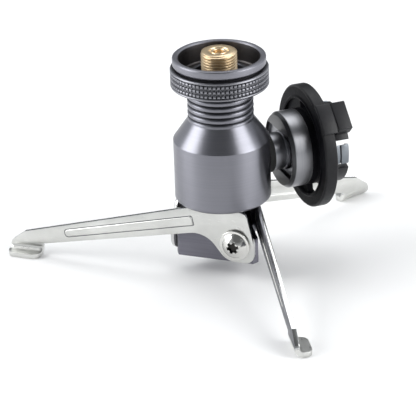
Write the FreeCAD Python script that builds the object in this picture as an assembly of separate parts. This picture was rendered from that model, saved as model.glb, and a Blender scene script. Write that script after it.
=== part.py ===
import FreeCAD, Part
import math
import os

from FreeCAD import Vector

# Cartridge adapter stand for a camping stove: a turned body with a screw-on
# stove post on top, a side connector for a lying gas cartridge, and three
# folding legs.  Millimetres, +Z up, floor at z = 0, post axis on the Z axis,
# gas connector towards +X.

# ---- heights on the post axis ------------------------------------------
BODY_BOTTOM = 23.4
SHOULDER_Z = 43.0
CONE_TOP_Z = 49.6
NECK_TOP_Z = 64.6
TRENCH_Z = 62.0
POST_TOP_Z = 71.35
NUT_BOTTOM_Z = 60.4
NUT_TOP_Z = 66.4
CUP_BOTTOM_Z = 67.1
CUP_TOP_Z = 69.8

# ---- radii on the post axis --------------------------------------------
BODY_R = 14.85
NECK_R = 10.15
NECK_ROOT_R = 9.45
NECK_PITCH = 1.9
CUP_R = 14.3
CUP_INNER_R = 12.5
CUP_WALL_R = 13.1
NUT_R = 15.05
NUT_ROOT_R = 14.4
NUT_TEETH = 72
THREAD_R = 9.9
THREAD_Z = 60.0
NUT_BORE_R = THREAD_R + 0.1
POST_R = 5.55
POST_ROOT_R = 5.0
POST_PITCH = 0.907
VALVE_HOLE_R = 1.75
VALVE_CAVITY_R = 2.9
STEM_R = 1.70

# ---- leg block and legs ------------------------------------------------
LEG_TURN = -11.7
BLOCK_BOTTOM = 5.3
BLOCK_TOP = 13.8
FLAT_D = 8.4
BLOCK_NECK_R = 8.3
SPIGOT_R = 6.5
LEG_GAP = 0.3
LEG_T = 1.5
LEG_IN = FLAT_D + LEG_GAP
LEG_OUT = LEG_IN + LEG_T
PIVOT_S = -7.3
PIVOT_Z = 12.1
PIVOT_R = 2.25
ROOT_R = 6.0
LEG_AZIMUTHS = [150.0 + LEG_TURN, 270.0 + LEG_TURN, 30.0 + LEG_TURN]
FOOT_OUT = 14.3
FOOT_CORNER = 2.6
FOOT_BEND = 2.8
FOOT_S0 = 57.6
FOOT_S1 = 68.4
RIB_W = 2.8
RIB_H = 0.4
WASHER_R = 4.9
WASHER_T = 0.6
HEAD_R = 4.05
HEAD_H = 2.1

# ---- gas arm, along +X ---------------------------------------------------
ARM_Z = 35.2
TUBE_R = 5.8
LIP_R = 6.15
HOUSING_R = 12.0
HOUSING_X0 = 18.8
HOUSING_X1 = 25.4
BOSS_R = 11.2
SLOT_W = 13.3
SLOT_DEPTH = 1.5
RING_R = 19.3
RING_X0 = 26.6
RING_X1 = 30.6
RING_RIM_IN = 15.6
WEB_X0 = 27.3
WEB_X1 = 29.2
HUB_R = 11.9
COLLAR_IN = 10.6
COLLAR_OUT = 12.6
COLLAR_X1 = 37.2
GAP_SPAN = 43.5
KEY_ANGLE = 44.5
KEY_W = 10.0
KEY_TOP = 19.7
KEY_STEP_R = 20.1
KEY_X1 = 36.5
CLAW_ANGLES = [1.0, 121.0, 241.0]
CLAW_SPAN = 28.9
CLAW_R = 12.5
CLAW_X1 = 37.2
PLATE_T = 0.8
PLATE_IN = 5.4
PLATE_OUT = 10.4
WINDOW_ANGLES = [69.5, 189.5, 309.5]
WINDOW_SPAN = 62.0
SCREW_ANGLES = [1.0, 121.0, 241.0]
SCREW_PCR = 7.4


def save(name, shape):
    if not shape.isValid():
        shape = shape.removeSplitter()
    print(name, "valid", shape.isValid(), "solids", len(shape.Solids),
          "volume", round(shape.Volume, 1))
    shape.exportStep("parts/" + name + ".step")


def fuse(items):
    out = items[0]
    if len(items) > 1:
        out = out.multiFuse(items[1:])
    return out.removeSplitter()


def revolved(profile):
    """Closed (r, z) outline turned about the Z axis."""
    pts = [Vector(r, 0, z) for r, z in profile]
    pts.append(pts[0])
    face = Part.Face(Part.makePolygon(pts))
    return face.revolve(Vector(0, 0, 0), Vector(0, 0, 1), 360)


def disc(r, z0, z1):
    return Part.makeCylinder(r, z1 - z0, Vector(0, 0, z0))


def tube(r_out, r_in, z0, z1):
    return disc(r_out, z0, z1).cut(disc(r_in, z0 - 1, z1 + 1))


def on_arm(shape):
    """Takes a shape built along Z and lays it along the gas arm."""
    out = shape.copy()
    out.rotate(Vector(0, 0, 0), Vector(0, 1, 0), 90)
    out.translate(Vector(0, 0, ARM_Z))
    return out


def at_arm_angle(shape, angle):
    """Turns a shape built at local -Y (facing the front) up by an angle."""
    out = shape.copy()
    out.rotate(Vector(0, 0, ARM_Z), Vector(1, 0, 0), -angle)
    return out


def sector(r_out, r_in, x0, x1, angle, span):
    """Arc-shaped wall round the gas arm, centred at an angle from the front."""
    ring = Part.makeCylinder(r_out, x1 - x0, Vector(x0, 0, ARM_Z), Vector(1, 0, 0))
    hole = Part.makeCylinder(r_in, x1 - x0 + 2, Vector(x0 - 1, 0, ARM_Z), Vector(1, 0, 0))
    reach = r_out * 3
    half = math.radians(span / 2)
    pts = [Vector(x0 - 1, 0, ARM_Z)]
    for i in range(9):
        a = -half + i * half / 4
        pts.append(Vector(x0 - 1, -reach * math.cos(a), ARM_Z + reach * math.sin(a)))
    pts.append(pts[0])
    wedge = Part.Face(Part.makePolygon(pts)).extrude(Vector(x1 - x0 + 2, 0, 0))
    return ring.cut(hole).common(at_arm_angle(wedge, angle))


def rounded_outline(corners, y):
    """Closed wire in the XZ plane at depth y; each corner is (x, z, radius)."""
    n = len(corners)
    cuts = []
    for i in range(n):
        px, pz, _ = corners[i - 1]
        cx, cz, rad = corners[i]
        nx, nz, _ = corners[(i + 1) % n]
        a = Vector(px - cx, 0, pz - cz)
        b = Vector(nx - cx, 0, nz - cz)
        a.normalize()
        b.normalize()
        c = Vector(cx, y, cz)
        if rad <= 0:
            cuts.append((c, None, c))
            continue
        half = a.getAngle(b) / 2
        run = rad / math.tan(half)
        bis = a + b
        bis.normalize()
        mid = c + bis * (rad / math.sin(half) - rad)
        cuts.append((c + a * run, mid, c + b * run))
    edges = []
    for i in range(n):
        start, mid, end = cuts[i]
        if mid is not None:
            edges.append(Part.Arc(start, mid, end).toShape())
        follow = cuts[(i + 1) % n][0]
        if (follow - end).Length > 1e-6:
            edges.append(Part.makeLine(end, follow))
    return Part.Wire(edges)


def plate(corners, y0, y1):
    face = Part.Face(rounded_outline(corners, y0))
    return face.extrude(Vector(0, y1 - y0, 0))


# ---- body ----------------------------------------------------------------
def make_body():
    prof = [(0, BODY_BOTTOM), (BODY_R - 0.8, BODY_BOTTOM), (BODY_R, BODY_BOTTOM + 0.8)]
    prof += [(BODY_R, SHOULDER_Z - 0.35), (BODY_R - 0.25, SHOULDER_Z)]
    prof += [(NECK_R + 0.3, CONE_TOP_Z - 0.1), (NECK_R, CONE_TOP_Z + 0.2)]
    z = CONE_TOP_Z + 1.3
    prof += [(NECK_R, z - 0.35)]
    while z + NECK_PITCH < THREAD_Z:
        prof += [(NECK_ROOT_R, z - 0.1), (NECK_ROOT_R, z + 0.1), (NECK_R - 0.1, z + 0.35)]
        prof += [(NECK_R, z + 0.6), (NECK_R, z + NECK_PITCH - 0.6), (NECK_R - 0.1, z + NECK_PITCH - 0.35)]
        z += NECK_PITCH
    prof += [(NECK_ROOT_R, z - 0.1), (NECK_ROOT_R, z + 0.25), (THREAD_R, z + 0.7)]
    prof += [(THREAD_R, NECK_TOP_Z - 0.8), (THREAD_R - 0.8, NECK_TOP_Z)]
    prof += [(8.3, NECK_TOP_Z), (8.1, NECK_TOP_Z - 0.2), (8.1, TRENCH_Z), (0, TRENCH_Z)]
    body = revolved(prof)
    post_seat = disc(POST_ROOT_R, 56.0, 67.0)
    passage = disc(1.6, ARM_Z - 1, 57.0)
    spigot_hole = disc(SPIGOT_R, BODY_BOTTOM - 1, 30.4)
    arm_hole = on_arm(disc(4.0, 9.0, 20.0))
    arm_passage = on_arm(disc(1.6, -1.0, 20.0))
    spot_face = on_arm(disc(6.7, 14.2, 20.0))
    for tool in (post_seat, passage, spigot_hole, arm_hole, arm_passage, spot_face):
        body = body.cut(tool)
    return body.removeSplitter()


# ---- leg block: bar with three flats, a turned neck and a spigot -----------
def make_block():
    prof = [(0, BLOCK_BOTTOM), (BODY_R - 0.7, BLOCK_BOTTOM), (BODY_R, BLOCK_BOTTOM + 0.7)]
    prof += [(BODY_R, BLOCK_TOP - 0.4), (BODY_R - 0.4, BLOCK_TOP), (BLOCK_NECK_R, BLOCK_TOP)]
    prof += [(BLOCK_NECK_R, BODY_BOTTOM), (SPIGOT_R, BODY_BOTTOM), (SPIGOT_R, 29.6)]
    prof += [(SPIGOT_R - 0.5, 30.1), (0, 30.1)]
    block = revolved(prof)
    for az in LEG_AZIMUTHS:
        side = Part.makeBox(60, 20, BLOCK_TOP - BLOCK_BOTTOM + 2,
                            Vector(-30, FLAT_D, BLOCK_BOTTOM - 1))
        hole = Part.makeCylinder(2.0, 9.0, Vector(PIVOT_S, FLAT_D - 6.0, PIVOT_Z), Vector(0, 1, 0))
        for tool in (side, hole):
            tool.rotate(Vector(0, 0, 0), Vector(0, 0, 1), az)
            block = block.cut(tool)
    return block.removeSplitter()


# ---- leg: stamped plate with a stiffening rib and a turned-out foot --------
def make_leg(az):
    corners = [(-10.9, 23.1, 2.8), (6.1, 23.1, 4.0), (63.5, 7.38, 1.0), (67.9, 4.1, 0.9),
               (FOOT_S1, FOOT_BEND, 0), (FOOT_S0, FOOT_BEND, 0), (FOOT_S0 - 0.2, 3.85, 0.4),
               (2.62, 15.15, 8.0), (-4.34, 6.1, ROOT_R), (-13.3, 6.1, ROOT_R), (-13.3, 12.7, 0)]
    body = plate(corners, LEG_IN, LEG_OUT)
    y0, y1 = LEG_IN, LEG_OUT
    a = math.sqrt(0.5)
    b = FOOT_BEND
    r = FOOT_BEND - LEG_T
    top = b + 0.2
    edges = [Part.makeLine(Vector(FOOT_S0, y0, top), Vector(FOOT_S0, y0, b)),
             Part.Arc(Vector(FOOT_S0, y0, b), Vector(FOOT_S0, y0 + b - b * a, b - b * a),
                      Vector(FOOT_S0, y0 + b, 0)).toShape(),
             Part.makeLine(Vector(FOOT_S0, y0 + b, 0), Vector(FOOT_S0, FOOT_OUT, 0)),
             Part.makeLine(Vector(FOOT_S0, FOOT_OUT, 0), Vector(FOOT_S0, FOOT_OUT, LEG_T)),
             Part.makeLine(Vector(FOOT_S0, FOOT_OUT, LEG_T), Vector(FOOT_S0, y1 + r, LEG_T)),
             Part.Arc(Vector(FOOT_S0, y1 + r, LEG_T), Vector(FOOT_S0, y1 + r - r * a, b - r * a),
                      Vector(FOOT_S0, y1, b)).toShape(),
             Part.makeLine(Vector(FOOT_S0, y1, b), Vector(FOOT_S0, y1, top)),
             Part.makeLine(Vector(FOOT_S0, y1, top), Vector(FOOT_S0, y0, top))]
    foot = Part.Face(Part.Wire(edges)).extrude(Vector(FOOT_S1 - FOOT_S0, 0, 0))
    c = FOOT_CORNER
    rim = [Vector(FOOT_S0 - 1, y0 - 1, -1), Vector(FOOT_S1 + 1, y0 - 1, -1)]
    rim.append(Vector(FOOT_S1 + 1, FOOT_OUT - c, -1))
    for i in range(7):
        t = math.radians(15 * i)
        rim.append(Vector(FOOT_S1 - c + c * math.cos(t), FOOT_OUT - c + c * math.sin(t), -1))
    for i in range(7):
        t = math.radians(90 + 15 * i)
        rim.append(Vector(FOOT_S0 + c + c * math.cos(t), FOOT_OUT - c + c * math.sin(t), -1))
    rim += [Vector(FOOT_S0 - 1, FOOT_OUT - c, -1), rim[0]]
    trim = Part.Face(Part.makePolygon(rim)).extrude(Vector(0, 0, 6))
    foot = foot.common(trim)
    rib_len = math.hypot(18.45 - 8.5, 49.5 - 6.6)
    h = RIB_W / 2
    rib = [(0.0, -h, 0.5), (rib_len, -h, h - 0.05), (rib_len, h, h - 0.05), (0.0, h, 0.5)]
    inner = [(0.4, -h + 0.4, 0.3), (rib_len - 0.4, -h + 0.4, h - 0.5),
             (rib_len - 0.4, h - 0.4, h - 0.5), (0.4, h - 0.4, 0.3)]
    turn = math.degrees(math.atan2(18.45 - 8.5, 49.5 - 6.6))
    raised = plate(rib, LEG_OUT - 0.2, LEG_OUT + RIB_H)
    groove = plate(inner, LEG_IN - 0.5, LEG_IN + RIB_H)
    for item in (raised, groove):
        item.rotate(Vector(0, 0, 0), Vector(0, 1, 0), turn)
        item.translate(Vector(6.6, 0, 18.45))
    hole = Part.makeCylinder(PIVOT_R + 0.05, 6, Vector(PIVOT_S, LEG_IN - 2, PIVOT_Z),
                             Vector(0, 1, 0))
    leg = fuse([body, foot, raised]).cut(groove).cut(hole)
    leg.rotate(Vector(0, 0, 0), Vector(0, 0, 1), az)
    return leg


# ---- pivot screw: button head with a six-lobed recess ----------------------
def lobed_recess(r, depth):
    core = Part.makeCylinder(r * 0.62, depth, Vector(0, 0, 0))
    items = [core]
    for k in range(6):
        a = math.radians(60 * k)
        items.append(Part.makeCylinder(r * 0.26, depth,
                                       Vector(r * 0.74 * math.cos(a), r * 0.74 * math.sin(a), 0)))
    return fuse(items)


def make_screw(az):
    y0 = LEG_OUT + LEG_GAP + WASHER_T
    dome_r = (HEAD_R ** 2 + HEAD_H ** 2) / (2 * HEAD_H)
    ball = Part.makeSphere(dome_r, Vector(0, 0, HEAD_H - dome_r))
    head = ball.common(Part.makeCylinder(HEAD_R, HEAD_H + 1, Vector(0, 0, 0)))
    shoulder = Part.makeCylinder(PIVOT_R, y0 - FLAT_D, Vector(0, 0, FLAT_D - y0))
    shank = Part.makeCylinder(2.0, y0 - FLAT_D + 5.6, Vector(0, 0, FLAT_D - y0 - 5.6))
    screw = fuse([head, shoulder, shank])
    recess = lobed_recess(1.95, 2.0)
    recess.translate(Vector(0, 0, HEAD_H - 1.5))
    screw = screw.cut(recess)
    screw.rotate(Vector(0, 0, 0), Vector(1, 0, 0), -90)
    screw.translate(Vector(PIVOT_S, y0, PIVOT_Z))
    screw.rotate(Vector(0, 0, 0), Vector(0, 0, 1), az)
    return screw


def make_washer(az):
    y0 = LEG_OUT + LEG_GAP
    ring = Part.makeCylinder(WASHER_R, WASHER_T, Vector(PIVOT_S, y0, PIVOT_Z), Vector(0, 1, 0))
    ring = ring.cut(Part.makeCylinder(PIVOT_R, 4, Vector(PIVOT_S, y0 - 1, PIVOT_Z),
                                      Vector(0, 1, 0)))
    ring.rotate(Vector(0, 0, 0), Vector(0, 0, 1), az)
    return ring


# ---- stove post with its self-closing valve ---------------------------------
def make_post():
    prof = [(0, 56.0), (POST_ROOT_R, 56.0), (POST_ROOT_R, 63.8), (POST_ROOT_R - 0.3, 64.2)]
    z = 64.2
    while z + POST_PITCH < POST_TOP_Z - 0.35:
        prof += [(POST_ROOT_R - 0.05, z), (POST_R, z + POST_PITCH * 0.42)]
        prof += [(POST_R, z + POST_PITCH * 0.58)]
        z += POST_PITCH
    prof += [(POST_ROOT_R - 0.05, z), (POST_R - 0.3, z + 0.2), (POST_R - 0.75, POST_TOP_Z)]
    prof += [(3.05, POST_TOP_Z), (2.9, POST_TOP_Z - 0.45), (2.5, POST_TOP_Z - 0.45)]
    prof += [(2.35, POST_TOP_Z - 0.05), (VALVE_HOLE_R + 0.15, POST_TOP_Z - 0.05)]
    prof += [(VALVE_HOLE_R, POST_TOP_Z - 0.25), (VALVE_HOLE_R, 68.2), (VALVE_CAVITY_R, 68.2)]
    prof += [(VALVE_CAVITY_R, 58.0), (1.6, 57.4), (1.6, 56.0)]
    return revolved(prof[1:])


def make_stem():
    prof = [(0.75, 70.2), (0.75, 68.9), (0, 68.9), (0, 63.4), (1.2, 63.4), (1.2, 65.2)]
    prof += [(2.5, 65.2), (2.5, 66.2), (STEM_R, 66.6), (STEM_R, 69.95), (STEM_R - 0.25, 70.2)]
    return revolved(prof)


def make_spring():
    wire_r = 0.25
    height = 6.35
    coil_r = 2.1
    helix = Part.makeHelix(1.27, height, coil_r)
    prof = Part.Wire(Part.Circle(Vector(coil_r, 0, 0), Vector(0, 1, 0), wire_r).toShape())
    coil = Part.Wire(helix).makePipeShell([prof], True, False)
    coil.translate(Vector(0, 0, 58.3))
    return coil


# ---- height nut and seat cup ---------------------------------------------------
def make_nut():
    def toothed(z0, z1):
        pts = []
        for i in range(NUT_TEETH):
            for frac, rad in ((0.0, NUT_ROOT_R), (0.3, NUT_R), (0.7, NUT_R)):
                a = 2 * math.pi * (i + frac) / NUT_TEETH
                pts.append(Vector(rad * math.cos(a), rad * math.sin(a), z0))
        pts.append(pts[0])
        return Part.Face(Part.makePolygon(pts)).extrude(Vector(0, 0, z1 - z0))
    rows = [toothed(64.5, 65.45), toothed(63.0, 63.95), toothed(61.5, 62.45)]
    top = revolved([(0, 65.7), (NUT_R - 0.15, 65.7), (NUT_R, 65.85), (NUT_R, 66.1),
                    (NUT_R - 0.3, NUT_TOP_Z), (0, NUT_TOP_Z)])
    core = disc(NUT_ROOT_R - 0.1, 61.0, 65.8)
    foot = revolved([(0, NUT_BOTTOM_Z), (NUT_R - 0.5, NUT_BOTTOM_Z), (NUT_R, 60.9), (NUT_R, 61.1),
                     (NUT_R - 0.15, 61.25), (0, 61.25)])
    nut = fuse(rows + [top, core, foot])
    bore = disc(NUT_BORE_R, 59, 68)
    relief = disc(CUP_WALL_R + 0.3, 62.2, 68)
    snap = disc(CUP_WALL_R + 0.7, 62.6, 63.8)
    mouth = revolved([(0, 60.0), (NUT_BORE_R + 0.8, 60.0), (NUT_BORE_R, 61.0), (0, 61.0)])
    return nut.cut(bore).cut(relief).cut(snap).cut(mouth)


def make_cup():
    bore = THREAD_R + 0.3
    prof = [(bore, 62.6), (CUP_WALL_R, 62.6), (CUP_WALL_R + 0.4, 62.95), (CUP_WALL_R + 0.4, 63.35)]
    prof += [(CUP_WALL_R, 63.5), (CUP_WALL_R, CUP_BOTTOM_Z), (CUP_R - 0.4, CUP_BOTTOM_Z)]
    prof += [(CUP_R, CUP_BOTTOM_Z + 0.4), (CUP_R, CUP_TOP_Z - 0.3), (CUP_R - 0.3, CUP_TOP_Z)]
    prof += [(CUP_INNER_R + 0.25, CUP_TOP_Z), (CUP_INNER_R, CUP_TOP_Z - 0.3)]
    prof += [(CUP_INNER_R - 0.15, 63.9), (CUP_INNER_R - 0.55, 63.5), (bore, 63.5)]
    return revolved(prof)


# ---- gas arm ------------------------------------------------------------------------
def make_arm_washer():
    return on_arm(tube(6.3, 4.0, 14.2, 15.5))


def make_arm_tube():
    floor = HOUSING_X0 + SLOT_DEPTH
    prof = [(1.6, 9.0), (4.0, 9.0), (4.0, 15.5), (TUBE_R - 0.2, 15.5), (TUBE_R, 15.7), (TUBE_R, floor - 1.1)]
    prof += [(LIP_R - 0.15, floor - 1.1), (LIP_R, floor - 0.95), (LIP_R, floor - 0.2), (LIP_R - 0.2, floor)]
    prof += [(3.2, floor), (3.2, 24.4), (1.6, 24.4)]
    return on_arm(revolved(prof))


def make_tube_seal():
    ring = Part.makeTorus(3.6, 0.4, Vector(0, 0, 23.0), Vector(0, 0, 1))
    return on_arm(ring)


def make_housing():
    prof = [(0, HOUSING_X0), (BOSS_R - 0.1, HOUSING_X0), (BOSS_R, HOUSING_X0 + 0.1)]
    prof += [(HOUSING_R, HOUSING_X0 + 1.1), (HOUSING_R, HOUSING_X1 - 0.2), (HOUSING_R - 0.2, HOUSING_X1)]
    prof += [(9.0, HOUSING_X1)]
    prof += [(9.0, RING_X1), (0, RING_X1)]
    body = revolved(prof)
    slot = Part.makeBox(SLOT_W, 60, SLOT_DEPTH + 0.5, Vector(-SLOT_W / 2, -30, HOUSING_X0 - 0.5))
    body = body.cut(slot.common(disc(BOSS_R - 0.35, HOUSING_X0 - 1, HOUSING_X0 + 4)))
    body = body.cut(disc(3.2, 19.0, 24.4)).cut(disc(1.6, 19.0, 31.0))
    body = body.cut(tube(4.0, 3.1, 22.6, 23.4))
    body = body.cut(disc(4.4, 26.0, 31.0)).cut(disc(5.3, 30.2, 31.0))
    out = on_arm(body)
    for a in SCREW_ANGLES:
        pilot = Part.makeCylinder(1.25, 5, Vector(27.0, -SCREW_PCR, ARM_Z), Vector(1, 0, 0))
        out = out.cut(at_arm_angle(pilot, a))
    return out


def make_ring():
    prof = [(9.05, HOUSING_X1), (HUB_R - 0.3, HOUSING_X1), (HUB_R, HOUSING_X1 + 0.3), (HUB_R, WEB_X0)]
    prof += [(RING_RIM_IN - 0.6, WEB_X0), (RING_RIM_IN - 0.6, 26.4), (RING_RIM_IN, 26.2)]
    prof += [(RING_RIM_IN + 0.5, RING_X0), (RING_R - 0.35, RING_X0), (RING_R, RING_X0 + 0.35)]
    prof += [(RING_R, RING_X1 - 0.35), (RING_R - 0.35, RING_X1), (RING_RIM_IN + 0.3, RING_X1)]
    prof += [(RING_RIM_IN + 0.3, WEB_X1), (HUB_R, WEB_X1), (HUB_R, RING_X1), (9.05, RING_X1)]
    ring = on_arm(revolved(prof))
    for a in WINDOW_ANGLES:
        ring = ring.cut(sector(RING_RIM_IN - 0.6, HUB_R + 0.2, 24.0, 32.0, a, WINDOW_SPAN))
    pieces = [ring]
    walls = sector(COLLAR_OUT, COLLAR_IN, RING_X1 - 0.2, COLLAR_X1, 180.0, 359.9)
    for a in CLAW_ANGLES:
        walls = walls.cut(sector(COLLAR_OUT + 2, COLLAR_IN - 2, RING_X1, COLLAR_X1 + 1, a, GAP_SPAN))
    pieces.append(walls)
    pieces.append(sector(KEY_STEP_R, 16.5, 26.8, 31.6, KEY_ANGLE, 28.8))
    pieces.append(sector(16.3, COLLAR_OUT - 0.2, 31.6, 36.0, KEY_ANGLE - 4.0, 35.0))
    far = Part.makeBox(KEY_X1 - 31.85, KEY_TOP - 16.0, KEY_W - 0.7,
                       Vector(31.85, -KEY_TOP, ARM_Z - KEY_W / 2 + 0.7))
    link = Part.makeBox(0.8, KEY_TOP - 0.25 - 16.7, KEY_W - 1.2,
                        Vector(31.3, -KEY_TOP + 0.25, ARM_Z - KEY_W / 2 + 0.95))
    for item in (far, link):
        pieces.append(at_arm_angle(item, KEY_ANGLE))
    return fuse(pieces)


def make_claw_plate():
    plate_ring = on_arm(tube(PLATE_OUT, PLATE_IN, RING_X1, RING_X1 + PLATE_T))
    items = [plate_ring]
    for a in CLAW_ANGLES:
        items.append(sector(CLAW_R, PLATE_OUT - 0.4, RING_X1 + 0.05, RING_X1 + PLATE_T, a, CLAW_SPAN))
        items.append(sector(CLAW_R, CLAW_R - PLATE_T, 31.0, CLAW_X1, a, CLAW_SPAN))
        items.append(sector(CLAW_R, CLAW_R - 2.3, CLAW_X1 - PLATE_T, CLAW_X1, a, CLAW_SPAN))
    out = fuse(items)
    for a in SCREW_ANGLES:
        hole = Part.makeCylinder(1.25, 5, Vector(29.0, -SCREW_PCR, ARM_Z), Vector(1, 0, 0))
        out = out.cut(at_arm_angle(hole, a))
    return out


def make_plate_screws():
    solids = []
    for a in SCREW_ANGLES:
        shank = Part.makeCylinder(1.25, 4.0, Vector(27.4, -SCREW_PCR, ARM_Z), Vector(1, 0, 0))
        head = Part.makeCylinder(2.05, 1.3, Vector(31.4, -SCREW_PCR, ARM_Z), Vector(1, 0, 0))
        head = head.makeFillet(0.5, [head.Edges[0]])
        cross = Part.makeBox(1.0, 2.6, 0.6, Vector(32.0, -SCREW_PCR - 1.3, ARM_Z - 0.3))
        bar = Part.makeBox(1.0, 0.6, 2.6, Vector(32.0, -SCREW_PCR - 0.3, ARM_Z - 1.3))
        solids.append(at_arm_angle(fuse([shank, head]).cut(cross).cut(bar), a))
    return Part.makeCompound(solids)


def make_nozzle():
    prof = [(1.6, 26.0), (4.4, 26.0), (4.4, 30.2), (5.2, 30.2), (5.2, 31.6), (3.6, 31.6), (3.6, 33.4)]
    prof += [(3.2, 33.8), (2.3, 33.8), (2.3, 31.6), (2.6, 31.6), (2.6, 30.6), (1.6, 30.6)]
    return on_arm(revolved(prof))


def make_nozzle_seal():
    return on_arm(revolved([(1.2, 30.6), (2.6, 30.6), (2.6, 31.6), (1.2, 31.6)]))


os.makedirs("parts", exist_ok=True)
save("body", make_body())
save("leg_block", make_block())
for number, azimuth in enumerate(LEG_AZIMUTHS, start=1):
    save("leg_" + str(number), make_leg(azimuth))
save("leg_screws", Part.makeCompound([make_screw(a) for a in LEG_AZIMUTHS]))
save("leg_washers", Part.makeCompound([make_washer(a) for a in LEG_AZIMUTHS]))
save("stove_post", make_post())
save("valve_stem", make_stem())
save("valve_spring", make_spring())
save("valve_seal", revolved([(STEM_R + 0.02, 67.3), (VALVE_CAVITY_R, 67.3), (VALVE_CAVITY_R, 68.2),
                             (STEM_R + 0.02, 68.2)]))
save("height_nut", make_nut())
save("seat_cup", make_cup())
save("arm_washer", make_arm_washer())
save("arm_tube", make_arm_tube())
save("tube_seal", make_tube_seal())
save("valve_housing", make_housing())
save("coupling_ring", make_ring())
save("claw_plate", make_claw_plate())
save("plate_screws", make_plate_screws())
save("gas_nozzle", make_nozzle())
save("nozzle_seal", make_nozzle_seal())
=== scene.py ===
import math

import bmesh
import bpy
from mathutils import Matrix, Vector


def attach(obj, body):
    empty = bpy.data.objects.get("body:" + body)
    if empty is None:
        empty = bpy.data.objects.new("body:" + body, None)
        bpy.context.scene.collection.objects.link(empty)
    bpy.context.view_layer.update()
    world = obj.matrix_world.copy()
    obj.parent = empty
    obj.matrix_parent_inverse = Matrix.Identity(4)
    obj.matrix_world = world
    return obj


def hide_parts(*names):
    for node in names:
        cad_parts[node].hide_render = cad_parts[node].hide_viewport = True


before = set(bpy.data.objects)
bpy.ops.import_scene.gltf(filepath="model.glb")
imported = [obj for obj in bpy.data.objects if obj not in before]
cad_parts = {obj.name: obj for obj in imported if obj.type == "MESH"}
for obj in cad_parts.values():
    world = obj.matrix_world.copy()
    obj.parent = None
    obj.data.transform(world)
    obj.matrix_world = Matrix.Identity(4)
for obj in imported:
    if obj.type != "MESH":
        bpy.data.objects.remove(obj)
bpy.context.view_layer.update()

# ---- sizes in millimetres, as in the CAD frame -----------------------------
MM = 0.001
# Body, its ridged neck, and the plain thread the nut runs on.
BODY_R, BODY_Z0, SHOULDER_Z, CONE_Z = 14.85, 23.4, 43.0, 49.6
NECK_R, GROOVE_DEPTH, GROOVE_PITCH = 10.15, 0.66, 1.9
THREAD_Z, THREAD_R, NECK_Z1 = 60.0, 9.9, 64.6
TRENCH_R, TRENCH_Z, POST_SEAT_Z = 8.1, 62.0, 56.0
# Height nut, seat cup and threaded post.
NUT_R, NUT_ROOT, NUT_TEETH, NUT_BORE = 15.05, 14.35, 72, 10.0
NUT_ROWS = ((61.5, 62.45), (63.0, 63.95), (64.5, 65.45))
CUP_R, CUP_IN, CUP_WALL = 14.3, 12.5, 13.1
CUP_Z0, CUP_Z1, CUP_FLOOR = 67.1, 69.8, 63.5
POST_R, POST_ROOT, POST_PITCH, POST_Z0, POST_Z1 = 5.55, 5.0, 0.907, 64.2, 71.35
POST_CAVITY_R, POST_CAVITY_Z0, POST_CAVITY_Z1 = 2.9, 58.0, 68.2
# Gas arm: tube, housing with its slot, coupling ring and collar.
ARM_Z, TUBE_R, LIP_R, PASSAGE_R = 35.2, 5.8, 6.15, 1.6
HOUSING_R, BOSS_R, HOUSING_X0, HOUSING_X1 = 12.0, 11.2, 18.8, 25.4
SLOT_HALF, SLOT_DEPTH = 6.65, 1.5
FLOOR_X = HOUSING_X0 + SLOT_DEPTH
POCKET_R = BOSS_R - 0.35
RING_R, RING_X0, RING_X1, RIM_IN = 19.3, 26.6, 30.6, 15.6
HUB_R, HUB_IN, WEB_X0, WEB_X1 = 11.9, 9.05, 27.3, 29.2
COLLAR_IN, COLLAR_OUT, COLLAR_X1, GAP_SPAN = 10.6, 12.6, 37.2, 43.5
KEY_ANGLE, KEY_TOP, KEY_STEP_R, KEY_X1 = 44.5, 19.7, 20.1, 36.5
WINDOWS, WINDOW_SPAN = (69.5, 189.5, 309.5), 62.0
# Claw plate.
CLAWS, CLAW_SPAN, CLAW_R, CLAW_X1, CLAW_HOOK = (1.0, 121.0, 241.0), 28.9, 12.5, 37.2, 2.3
PLATE_T, PLATE_IN, PLATE_OUT, SCREW_PCR = 0.8, 5.4, 10.4, 7.4
PLATE_X1 = RING_X1 + PLATE_T
# Leg block, and the legs in their own frame: s along the leg, d outwards, z up.
BLOCK_Z0, BLOCK_Z1, BLOCK_NECK_R = 5.3, 13.8, 8.3
LEG_AZIMUTHS = (138.3, 258.3, 18.3)
FLAT_D, LEG_IN, LEG_OUT = 8.4, 8.7, 10.2
LEG_T = LEG_OUT - LEG_IN
PIVOT_S, PIVOT_Z, PIVOT_HOLE_R, WASHER_T = -7.3, 12.1, 2.3, 0.6
FOOT_S0, FOOT_S1, FOOT_OUT, FOOT_CORNER, FOOT_BEND = 57.6, 68.4, 14.3, 2.6, 2.8
RIB_START, RIB_END = (6.6, 18.45), (49.5, 8.5)
PRESS_DEPTH = 0.30


# ---- mesh helpers ----------------------------------------------------------
STRAIGHT = math.radians(172)  # a flatter corner than this isn't rounded
ARC_STEP = 0.9                # longest step along a rounded corner, in mm


def soft(points, r=0.15, seg=3, closed=True):
    """Rounds the corners of a flat outline; a point may carry its own radius."""
    out = []
    n = len(points)
    for i, p in enumerate(points):
        rad = p[2] if len(p) > 2 else r
        here = Vector(p[:2])
        if rad <= 0 or (not closed and i in (0, n - 1)):
            out.append(tuple(here))
            continue
        a = Vector(points[i - 1][:2]) - here
        b = Vector(points[(i + 1) % n][:2]) - here
        la, lb = a.length, b.length
        a.normalize()
        b.normalize()
        angle = a.angle(b)
        if angle > STRAIGHT:
            out.append(tuple(here))
            continue
        run = min(rad / math.tan(angle / 2), la * 0.46, lb * 0.46)
        rr = run * math.tan(angle / 2)
        centre = here + (a + b).normalized() * (rr / math.sin(angle / 2))
        u, v = here + a * run - centre, here + b * run - centre
        full = u.angle(v)
        steps = max(seg, int(full * rr / ARC_STEP))
        for k in range(steps + 1):
            t = k / steps
            w = (u * math.sin((1 - t) * full) + v * math.sin(t * full)) / math.sin(full)
            out.append(tuple(centre + w))
    return out


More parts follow.
